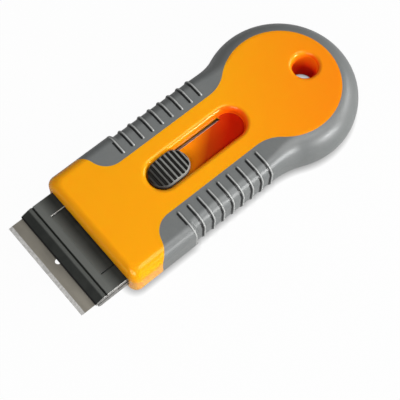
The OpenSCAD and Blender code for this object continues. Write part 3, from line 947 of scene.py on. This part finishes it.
def top_shell():
    """Upper half of the handle with its mouth, thumb pocket, slit, screw posts and hang hole."""
    ob = hard_form(True)
    outline = stadium(POCKET_X0 - TUB_WALL, POCKET_X1 + TUB_WALL, POCKET_HALF + TUB_WALL)
    tub = prism(outline, CEILING_Z, BODY_H)
    cut(ob, cut(chamber(SPLIT_Z - OVER, CHAMBER_Z, -OVER, 0), tub))
    front_x = LIP_DEPTH + WALL
    cut(ob, block(front_x, FRONT_CHAMBER_X, -DECK_HALF, DECK_HALF, SPLIT_Z - OVER, FRONT_DECK_Z))
    add(ob, *bosses(SPLIT_Z, FRONT_DECK_Z, BOSS_R))
    add(ob, post(HANG_X, 0, HANG_R + HANG_BOSS, SPLIT_Z, FRONT_DECK_Z))
    cut(ob, pocket(), slit())
    cut(ob, *bosses(SPLIT_Z - OVER, SCREW_TOP, SCREW_R + SCREW_GAP))
    cut(ob, rim_cutter(HANG_R, HANG_RIM, BODY_H, 1, BODY_H - SPLIT_Z + OVER))
    nodes = ["top_shell"]
    finish_piece(ob, "shell_top", "handle", ORANGE_LOOKS, nodes, recess_shade=painted_recess_shade)
    return deepen(ob)


def bottom_shell():
    """Lower half of the handle with guide rails, screw posts and hang hole."""
    ob = hard_form(False)
    cut(ob, chamber(FLOOR_T, SPLIT_Z + OVER, FRONT_WALL, UNDER_INSET))
    add(ob, *bosses(FLOOR_T - SEAM, SPLIT_Z, BOSS_R))
    add(ob, post(HANG_X, 0, HANG_R + HANG_BOSS, FLOOR_T - SEAM, SPLIT_Z))
    for s in (-1, 1):
        for y, x1 in ((RAIL_Y[0], TONGUE_X1 + TRAVEL), (RAIL_Y[1], FRONT_CHAMBER_X)):
            y0, y1 = sorted((s * y, s * (y + RAIL_W)))
            add(ob, block(FRONT_WALL - SEAM, x1, y0, y1, FLOOR_T - SEAM, RAIL_TOP))
    cut(ob, *bosses(-OVER, SCREW_SEAT_Z, SCREW_HEAD_R + SCREW_GAP))
    cut(ob, *bosses(-OVER, SPLIT_Z + OVER, SCREW_R + SCREW_GAP))
    cut(ob, rim_cutter(HANG_R, HANG_RIM_UNDER, 0, -1, SPLIT_Z + OVER))
    nodes = ["bottom_shell"]
    finish_piece(ob, "shell_bottom", "handle", ORANGE_LOOKS, nodes, recess_shade=painted_recess_shade)
    return deepen(ob)


def rib_bend(y, z, r, a0, a1):
    """Part of a rib's path round a bend, with outward normals; angles in degrees."""
    pts = []
    for i in range(RIB_BEND_STEPS + 1):
        a = math.radians(a0 + (a1 - a0) * i / RIB_BEND_STEPS)
        pts.append((y + r * math.cos(a), z + r * math.sin(a), math.cos(a), math.sin(a)))
    return pts


def rib_path(w):
    """Path of a rib down the side as y, z and outward normal, from the deck to the underside."""
    y_top = w - TOP_ROUND
    z_top = BODY_H - TOP_ROUND
    pts = []
    for i in range(RIB_FLAT_STEPS):
        pts.append((RIB_Y + (y_top - RIB_Y) * i / RIB_FLAT_STEPS, BODY_H, 0.0, 1.0))
    pts += rib_bend(y_top, z_top, TOP_ROUND, 90, 0)
    for i in range(1, RIB_WALL_STEPS):
        pts.append((w, z_top + (BOTTOM_ROUND - z_top) * i / RIB_WALL_STEPS, 1.0, 0.0))
    return pts + rib_bend(w - BOTTOM_ROUND, BOTTOM_ROUND, BOTTOM_ROUND, 0, -RIB_UNDER)


def rib_section(scale):
    """Section of a rib as x from its middle and height, smaller towards its free end; its last points make
    a thin sheet before the rib that carries its painted shadow.
    """
    width = RIB_END_SHARE + (1 - RIB_END_SHARE) * scale
    half = RIB_W / 2 * width
    reach = (RIB_W / 2 + RIB_SHADOW_SHEET) * width
    low = RIB_SHADOW_SHEET_H * scale
    points = []
    for k in range(RIB_ROUND_STEPS):
        a = math.pi * k / RIB_ROUND_STEPS
        points.append((half * math.cos(a), RIB_H * math.sin(a) ** RIB_FULLNESS * scale))
    return points + [(-half, low), (-reach, low), (-reach, -RIB_ROOT), (half, -RIB_ROOT)]


def rib(x, w, side, upper):
    """Half-round rib with a round end, swept along the side, with a painted highlight on its crest and a
    painted shadow on a thin sheet before it.
    """
    path = rib_path(w)
    if upper:
        path = [p for p in path if p[1] > GRIP_SPLIT_Z + SEAM_GAP]
    else:
        path = [p for p in path if p[1] < GRIP_SPLIT_Z - SEAM_GAP]
    run = [0.0]
    for a, b in zip(path, path[1:]):
        run.append(run[-1] + math.hypot(b[0] - a[0], b[1] - a[1]))
    taper = RIB_END_TOP if upper else RIB_END_UNDER
    rings = []
    for (y, z, ny, nz), s in zip(path, run):
        free = s if upper else run[-1] - s
        u = min(1.0, (free + RIB_TIP) / taper)
        section = rib_section(math.sqrt(max(0.0, 1 - (1 - u) ** 2)))
        rings.append([(x + dx, side * (y + ny * h), z + nz * h) for dx, h in section])
    ob = loft(rings)
    # Painted highlight on the crest and painted shadow on the sheet before the rib.
    paint(ob, "wear_and_highlight", lambda px, py, pz: smooth(*RIB_HIGHLIGHT, abs(px - x) / RIB_W))
    paint(ob, "shade", lambda px, py, pz: smooth(*RIB_SHADOW, (x - px) / RIB_W))
    return ob


def ribs(upper):
    """All ribs of one grip; the first lies on the wider front."""
    out = []
    for i in range(RIB_COUNT):
        w = FRONT_HALF - RIB_W / 2 if i == 0 else WAIST_HALF
        for side in (-1, 1):
            out.append(rib(RIB_X + i * RIB_PITCH, w, side, upper))
    return out


def grip(upper):
    """Soft layer of one shell, with half of the seam groove and its ribs."""
    ob = cut(skin(0), skin(-GRIP_T), deck_prism())
    keep(ob, half_space(upper, GRIP_SPLIT_Z))
    seam = cut(skin(OVER), skin(-SEAM_DEPTH))
    low = GRIP_SPLIT_Z - SEAM_GAP
    high = GRIP_SPLIT_Z + SEAM_GAP
    keep(seam, block(-3 * OVER, BODY_LEN + 3 * OVER, -2 * TAIL_R, 2 * TAIL_R, low, high))
    cut(ob, seam)
    paint(ob, "wear_and_highlight", lambda x, y, z: 0.0)
    paint(ob, "shade", lambda x, y, z: SEAM_SHADE if low - TOUCH < z < high + TOUCH else 0.0)
    join(ob, *ribs(upper))
    name = "grip_upper" if upper else "grip_lower"
    node = "upper_grip" if upper else "lower_grip"
    return finish_piece(ob, name, "handle", [GREY], [node])


def rounded(points, radii, n=5):
    """Polygon with its corners rounded."""
    out = []
    m = len(points)
    for i, (p, r) in enumerate(zip(points, radii)):
        if r <= 0:
            out.append(p)
            continue
        p = Vector(p)
        a = (Vector(points[i - 1]) - p).normalized()
        b = (Vector(points[(i + 1) % m]) - p).normalized()
        half = a.angle(b) / 2
        d = r / math.tan(half)
        c = p + (a + b).normalized() * (r / math.sin(half))
        start = p + a * d - c
        end = p + b * d - c
        turn = math.atan2(start.x * end.y - start.y * end.x, start.dot(end))
        for k in range(n + 1):
            t = turn * k / n
            x = c.x + start.x * math.cos(t) - start.y * math.sin(t)
            y = c.y + start.x * math.sin(t) + start.y * math.cos(t)
            out.append((x, y))
    return out


def jaw_profile():
    """Section of the upper jaw: nose, cross groove, flat back and channel for the blade's spine."""
    groove_x1 = GROOVE_X + GROOVE_W
    groove_z = JAW_TOP - GROOVE_D
    spine_z = JAW_Z + FOLD_T + SPINE_GAP
    nose = [(JAW_X0, JAW_Z), (JAW_X0, JAW_Z + NOSE_T), (JAW_X0 + NOSE_LEN, JAW_TOP)]
    groove = [(GROOVE_X, JAW_TOP), (GROOVE_X, groove_z), (groove_x1, groove_z), (groove_x1, JAW_TOP)]
    back = [(JAW_X1, JAW_TOP), (JAW_X1, JAW_Z)]
    channel = [(SPINE_X1 + SPINE_GAP, JAW_Z), (SPINE_X1 + SPINE_GAP, spine_z),
               (SPINE_X0 - SPINE_GAP, spine_z), (SPINE_X0 - SPINE_GAP, JAW_Z)]
    radii = [0, TOE_R, CREST_R] + [GROOVE_EDGE_R, GROOVE_FOOT_R, GROOVE_FOOT_R, GROOVE_EDGE_R]
    radii += [BACK_EDGE_R, 0] + [0] * len(channel)
    return rounded(nose + groove + back + channel, radii)


def sink_panel(ob):
    """Cuts the hollow panel behind the groove, with a slit and a slanted edge at each of its ends."""
    x1 = JAW_X1 + OVER
    top = JAW_TOP + OVER
    hollow = []
    for i in range(PANEL_STEPS + 1):
        u = i / PANEL_STEPS
        hollow.append((PANEL_X + (x1 - PANEL_X) * u ** 2, JAW_TOP - PANEL_D * u ** PANEL_FALL))
    cut(ob, across(hollow + [(x1, top), (PANEL_X, top)], -PANEL_HALF, PANEL_HALF))
    outer = PANEL_HALF + PANEL_SLIT / 2
    edge = [(outer, JAW_TOP - PANEL_EDGE), (outer, top), (outer + PANEL_EDGE + OVER, top)]
    for s in (-1, 1):
        y0 = s * PANEL_HALF - PANEL_SLIT / 2
        cut(ob, block(PANEL_X, x1, y0, y0 + PANEL_SLIT, JAW_TOP - PANEL_D, top))
        cut(ob, loft([[(x, s * y, z) for y, z in edge] for x in (PANEL_X, x1)]))
    return ob


def end_wear(share, x_end):
    """Share of wear on the two ends of a jaw, as far back as x_end."""
    def wear_and_highlight(x, y, z):
        return share if abs(y) > JAW_HALF - TOUCH and x < x_end else 0.0

    return wear_and_highlight


def upper_jaw():
    """Upper plate of the blade holder."""
    profile = jaw_profile()
    mid_x = (JAW_X0 + JAW_X1) / 2
    rings = []
    for y in (-JAW_HALF, JAW_CHAMFER - JAW_HALF, JAW_HALF - JAW_CHAMFER, JAW_HALF):
        inset = JAW_CHAMFER if abs(y) == JAW_HALF else 0.0
        sx = 1 - 2 * inset / (JAW_X1 - JAW_X0)
        sz = 1 - inset / (JAW_TOP - JAW_Z)
        rings.append([(mid_x + (x - mid_x) * sx, y, JAW_Z + (z - JAW_Z) * sz) for x, z in profile])
    ob = sink_panel(loft(rings))
    for s in (-1, 1):
        y = s * JAW_SCREW_Y
        cut(ob, post(JAW_SCREW_X, y, JAW_HOLE_R, JAW_Z - OVER, JAW_TOP + OVER, HOLE_STEPS))
        cut(ob, post(JAW_SCREW_X, y, JAW_HEAD_R, JAW_TOP - JAW_HEAD_D, JAW_TOP + OVER, HOLE_STEPS))
    wear_and_highlight = end_wear(UPPER_END_WEAR, JAW_X1 + OVER)
    finish_piece(ob, "jaw_upper", "carriage", JAW_LOOKS, ["upper_jaw"], wear_and_highlight=wear_and_highlight)
    return highlight_far_panel_end(bare_ends(ob))


def bare_ends(ob):
    """Bare metal on the end faces of a jaw."""
    for p in ob.data.polygons:
        if abs(p.normal.y) > SIDEWAYS and abs(p.center.y) / MM > JAW_HALF - BARE_REACH:
            p.material_index = JAW_LOOKS.index(BARE)
    return ob


def highlight_far_panel_end(ob):
    """Painted highlight: lighter metal on the slanted edge at the far end of the sunk panel, the end that
    faces the light.
    """
    outer = PANEL_HALF + PANEL_SLIT / 2
    for p in ob.data.polygons:
        y = p.center.y / MM
        slanted = SLANTED[0] < -p.normal.y < SLANTED[1] and p.normal.z > SLANTED[0]
        if slanted and outer - SEAM < y < outer + PANEL_EDGE + SEAM:
            p.material_index = JAW_LOOKS.index(PANEL_EDGE_HIGHLIGHT)
    return ob


def carriage():
    """Lower plate of the holder with a notch under the blade's ends, and the tongue under the button."""
    x0 = JAW_X0 + LOWER_SETBACK
    spine_z = BLADE_Z - FOLD_T - SPINE_GAP
    under = [(x0 + LOWER_BEVEL, CARRIAGE_Z), (JAW_X1, CARRIAGE_Z), (JAW_X1, JAW_Z)]
    channel = [(SPINE_X1 + SPINE_GAP, JAW_Z), (SPINE_X1 + SPINE_GAP, spine_z),
               (SPINE_X0 - SPINE_GAP, spine_z), (SPINE_X0 - SPINE_GAP, BLADE_Z)]
    front = [(x0, BLADE_Z), (x0, CARRIAGE_Z + LOWER_BEVEL)]
    radii = [LOWER_BEVEL_R[0], BACK_EDGE_R, 0] + [0] * len(channel) + [BACK_EDGE_R, LOWER_BEVEL_R[1]]
    ob = across(rounded(under + channel + front, radii), -JAW_HALF, JAW_HALF)
    add(ob, block(JAW_X1 - TONGUE_LAP, TONGUE_X1, -TONGUE_HALF, TONGUE_HALF, CARRIAGE_Z, BLADE_Z))
    cut(ob, block(LEG_X0 - LEG_GAP, LEG_X1 + LEG_GAP, BUTTON_HALF - LEG_T - LEG_GAP, BUTTON_HALF + LEG_GAP,
                  CARRIAGE_Z - OVER, BLADE_Z + OVER))
    cut(ob, post(RIVET_X, 0, RIVET_R + SCREW_GAP, BLADE_Z - RIVET_D, BLADE_Z + OVER, HOLE_STEPS))
    for s in (-1, 1):
        cut(ob, post(JAW_SCREW_X, s * JAW_SCREW_Y, JAW_HOLE_R, JAW_HOLE_Z, JAW_TOP, HOLE_STEPS))
        y0, y1 = sorted((s * (JAW_HALF - NOTCH_W), s * (JAW_HALF + OVER)))
        cut(ob, block(x0 - OVER, JAW_X0 + NOTCH_LEN, y0, y1, BLADE_Z - NOTCH_D, BLADE_Z + OVER))
    wear_and_highlight = end_wear(LOWER_END_WEAR, JAW_X1)
    nodes = ["blade_carriage"]
    finish_piece(ob, "jaw_lower", "carriage", JAW_LOOKS[:2], nodes, wear_and_highlight=wear_and_highlight)
    return bare_ends(ob)


def blade():
    """Razor blade with its ground edge, slot and end notches."""
    mid = BLADE_Z + (JAW_Z - BLADE_Z) / 2
    profile = [(EDGE_X, mid), (EDGE_X + BEVEL, BLADE_Z), (BLADE_X1, BLADE_Z), (BLADE_X1, JAW_Z),
               (EDGE_X + BEVEL, JAW_Z)]
    ob = across(profile, -BLADE_HALF, BLADE_HALF)
    slot_x = EDGE_X + SLOT_LEAD
    slot = stadium(slot_x, slot_x + SLOT_LEN, SLOT_R, SLOT_STEPS)
    cut(ob, prism(slot, BLADE_Z - OVER, JAW_Z + OVER))
    for s in (-1, 1):
        cut(ob, post(SPINE_X0 - END_NOTCH_LEAD, s * BLADE_HALF, END_NOTCH_R, BLADE_Z - OVER, JAW_Z + OVER))
    finish_piece(ob, "razor_blade", "carriage", BLADE_LOOKS, ["blade"], sharp=2.0)
    limit = frame_x(EDGE_X + BEVEL + TOUCH)
    for p in ob.data.polygons:
        if max(ob.data.vertices[i].co.x for i in p.vertices) < limit:
            p.material_index = BLADE_LOOKS.index(BLADE_EDGE)
    return ob


def button_top(u):
    """Height of the button's crown at a share u of its length."""
    if u < BUTTON_CROWN_SHARE:
        climb = math.sin(math.pi / 2 * u / BUTTON_CROWN_SHARE)
        return BUTTON_FRONT_H + (BUTTON_CROWN_H - BUTTON_FRONT_H) * climb
    fall = (u - BUTTON_CROWN_SHARE) / (1 - BUTTON_CROWN_SHARE)
    return BUTTON_CROWN_H - (BUTTON_CROWN_H - BUTTON_REAR_H) * fall ** 2


def button_depth(x, y):
    """Drop of the button's rounded rim at x and y, and the share of groove between the ridges."""
    r = BUTTON_HALF
    cx = min(max(x, BUTTON_X + r), BUTTON_X + BUTTON_LEN - r)
    d = max(0.0, r - math.hypot(x - cx, y))
    sunk = 0.0
    if d < BUTTON_RIM:
        sunk = BUTTON_RIM - math.sqrt(max(0.0, BUTTON_RIM ** 2 - (BUTTON_RIM - d) ** 2))
    phase = ((x - BUTTON_X) / BUTTON_LEN * RIDGES) % 1.0
    wave = abs(phase - 0.5) * 2
    rim = NEAR_RIM * smooth(*NEAR_RIM_TURN, -y / BUTTON_HALF)
    groove = smooth(*RIDGE_SIDES, wave) * smooth(rim, rim + RIDGE_END, d)
    return sunk, groove


def button_row(i):
    """Points across the button at step i along it, each with its share of painted highlight on the ridges
    and rim, which is small at the front where shade is painted.
    """
    t = i / BUTTON_STEPS
    u = END_CROWDING * (0.5 - 0.5 * math.cos(math.pi * t)) + (1 - END_CROWDING) * t
    x = BUTTON_X + u * BUTTON_LEN
    r = BUTTON_HALF
    cx = min(max(x, BUTTON_X + r), BUTTON_X + BUTTON_LEN - r)
    half = math.sqrt(max(0.0, r * r - (x - cx) ** 2))
    if i in (0, BUTTON_STEPS):
        half = BUTTON_TIP_HALF
        x += BUTTON_TIP_INSET if i == 0 else -BUTTON_TIP_INSET
    painted_light = FRONT_LIT_SHARE + (1 - FRONT_LIT_SHARE) * smooth(*LIT_RISE, u)
    row = []
    for j in range(BUTTON_ACROSS + 1):
        s = j / BUTTON_ACROSS
        y = half * (SIDE_CROWDING * math.sin(math.pi * (s - 0.5)) + (1 - SIDE_CROWDING) * (2 * s - 1))
        sunk, groove = button_depth(x, y)
        z = BUTTON_Z + button_top(u) - sunk - RIDGE_DEPTH * groove
        row.append((x, y, z, max(0.0, 1 - groove * RIDGE_HIGHLIGHT_FADE) * painted_light))
    return row


def thumb_button():
    """Crowned and ridged top on a straight wall, with its leg and foot."""
    rows = [button_row(i) for i in range(BUTTON_STEPS + 1)]
    verts = [p[:3] for row in rows for p in row]
    painted_light_values = [p[3] for row in rows for p in row]
    n = BUTTON_ACROSS + 1
    cols = [list(range(i * n, (i + 1) * n)) for i in range(len(rows))]
    faces = []
    for a, b in zip(cols, cols[1:]):
        for j in range(BUTTON_ACROSS):
            faces.append((a[j], b[j], b[j + 1], a[j + 1]))
    loop = [c[0] for c in cols] + cols[-1][1:]
    loop += [c[-1] for c in reversed(cols[:-1])] + list(reversed(cols[0][1:-1]))
    m = len(loop)
    foot = list(range(len(verts), len(verts) + m))
    verts += [(verts[i][0], verts[i][1], BUTTON_Z) for i in loop]
    painted_light_values += [0.0] * m
    for i in range(m):
        faces.append((loop[(i + 1) % m], loop[i], foot[i], foot[(i + 1) % m]))
    faces.append(tuple(foot))
    me = bpy.data.meshes.new("scratch")
    me.from_pydata(verts, [], faces)
    layer = me.attributes.new("wear_and_highlight", "FLOAT", "POINT")
    layer.data.foreach_set("value", painted_light_values)
    ob = bpy.data.objects.new("scratch", me)
    bpy.context.scene.collection.objects.link(ob)
    leg = block(LEG_X0, LEG_X1, BUTTON_HALF - LEG_T, BUTTON_HALF, LEG_Z, BUTTON_Z + LEG_LAP)
    add(leg, block(FOOT_X0, FOOT_X0 + FOOT_LEN, BUTTON_HALF - LEG_T, BUTTON_HALF + FOOT_OUT,
                   JAW_TOP - FOOT_H, JAW_TOP))
    join(ob, leg)
    return finish_piece(ob, "button_thumb", "button", [BUTTON], ["thumb_button"], sharp=50.0)


def dress_cad():
    """Materials for the nodes that keep their CAD shape."""
    for name in ("lock_spring", "spring_rivet", "jaw_screws", "shell_screws", "blade_spine"):
        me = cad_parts[name].data
        me.materials.clear()
        me.materials.append(STEEL)


# Stage
def background(tree):
    """1 for a ray that sees the white background itself or through glass, less for a mirrored one."""
    path = tree.nodes.new("ShaderNodeLightPath")
    direct = combined(tree, "MAXIMUM", path.outputs["Is Camera Ray"], path.outputs["Is Transmission Ray"])
    mirrored = combined(tree, "MULTIPLY", path.outputs["Is Glossy Ray"], MIRRORED)
    return combined(tree, "MAXIMUM", direct, mirrored)


def floor():
    """Plain white floor that keeps a soft shade where the object stands."""
    corners = [(-1, -1), (1, -1), (1, 1), (-1, 1)]
    me = bpy.data.meshes.new("floor")
    me.from_pydata([(x * FLOOR_HALF, y * FLOOR_HALF, -FLOOR_DROP) for x, y in corners], [], [(0, 1, 2, 3)])
    ob = bpy.data.objects.new("floor", me)
    bpy.context.scene.collection.objects.link(ob)
    mat = bpy.data.materials.new("white_floor")
    mat.use_nodes = True
    nodes = mat.node_tree.nodes
    links = mat.node_tree.links
    shader = nodes["Principled BSDF"]
    shader.inputs["Base Color"].default_value = (0.45, 0.45, 0.45, 1)
    shader.inputs["Roughness"].default_value = 0.9
    shader.inputs["Specular IOR Level"].default_value = 0.1
    glow = nodes.new("ShaderNodeEmission")
    contact = nodes.new("ShaderNodeAmbientOcclusion")
    contact.inputs["Distance"].default_value = CONTACT_REACH
    links.new(contact.outputs["AO"], glow.inputs["Strength"])
    share = combined(mat.node_tree, "MULTIPLY", background(mat.node_tree), GLOW_SHARE)
    mix = nodes.new("ShaderNodeMixShader")
    links.new(share, mix.inputs[0])
    links.new(shader.outputs[0], mix.inputs[1])
    links.new(glow.outputs[0], mix.inputs[2])
    links.new(mix.outputs[0], nodes["Material Output"].inputs["Surface"])
    me.materials.append(mat)


def lamp(name, azimuth, elevation, distance, size_x, size_y, power):
    """Soft box that looks at the object from an azimuth about Z and an elevation, in degrees."""
    data = bpy.data.lights.new(name, "AREA")
    data.shape = "RECTANGLE"
    data.size = size_x
    data.size_y = size_y
    data.energy = power
    ob = bpy.data.objects.new(name, data)
    a = math.radians(azimuth)
    e = math.radians(elevation)
    back = Vector((math.cos(a) * math.cos(e), math.sin(a) * math.cos(e), math.sin(e)))
    ob.location = Vector(LIT_POINT) + distance * back
    ob.rotation_euler = back.to_track_quat("Z", "Y").to_euler()
    bpy.context.scene.collection.objects.link(ob)


def studio():
    """Soft boxes from the tail, the top, the near side and the front, and a dim sky."""
    lamp("tail_box", -22.5, 24, 0.8, 0.4, 0.26, 2.9)
    lamp("top_box", -60, 66, 0.9, 0.4, 0.4, 3.0)
    lamp("near_box", -65, 20, 0.7, 0.2, 0.14, 4.0)
    lamp("front_fill", 208, 42, 0.9, 0.5, 0.4, 4.6)
    world = bpy.data.worlds.new("studio")
    bpy.context.scene.world = world
    world.use_nodes = True
    nodes = world.node_tree.nodes
    links = world.node_tree.links
    coord = nodes.new("ShaderNodeTexCoord")
    dot = nodes.new("ShaderNodeVectorMath")
    dot.operation = "DOT_PRODUCT"
    dot.inputs[1].default_value = SKY_DIRECTION
    links.new(coord.outputs["Generated"], dot.inputs[0])
    ramp = nodes.new("ShaderNodeMapRange")
    ramp.inputs["From Min"].default_value = SKY_FROM[0]
    ramp.inputs["From Max"].default_value = SKY_FROM[1]
    ramp.inputs["To Min"].default_value = 0.0
    ramp.inputs["To Max"].default_value = SKY_STRENGTH
    links.new(dot.outputs["Value"], ramp.inputs["Value"])
    strength = combined(world.node_tree, "MAXIMUM", ramp.outputs["Result"], background(world.node_tree))
    back = nodes["Background"]
    back.inputs["Color"].default_value = (1, 1, 1, 1)
    links.new(strength, back.inputs["Strength"])


def camera():
    """Camera fitted to the photo: direction, roll, distance and focal length."""
    azimuth = math.radians(VIEW_AZIMUTH)
    elevation = math.radians(VIEW_ELEVATION)
    roll = math.radians(VIEW_ROLL)
    level = math.cos(elevation)
    back = Vector((math.sin(azimuth) * level, -math.cos(azimuth) * level, math.sin(elevation)))
    right0 = Vector((math.cos(azimuth), math.sin(azimuth), 0))
    up0 = back.cross(right0)
    right = right0 * math.cos(roll) + up0 * math.sin(roll)
    up = up0 * math.cos(roll) - right0 * math.sin(roll)
    data = bpy.data.cameras.new("camera")
    data.sensor_fit = "HORIZONTAL"
    data.sensor_width = SENSOR_W
    data.lens = SENSOR_W * FOCAL_PIXELS / IMAGE_PIXELS
    data.clip_start = 0.01
    ob = bpy.data.objects.new("camera", data)
    turn = Matrix((right, up, back)).transposed()
    ob.matrix_world = Matrix.Translation(Vector(VIEW_TARGET) + VIEW_DISTANCE * back) @ turn.to_4x4()
    bpy.context.scene.collection.objects.link(ob)
    bpy.context.scene.camera = ob
    bpy.context.scene.view_settings.view_transform = "Standard"


camera()
floor()
studio()
top_shell()
bottom_shell()
grip(True)
grip(False)
upper_jaw()
carriage()
blade()
thumb_button()
guide_bar()
dress_cad()

bpy.context.view_layer.update()
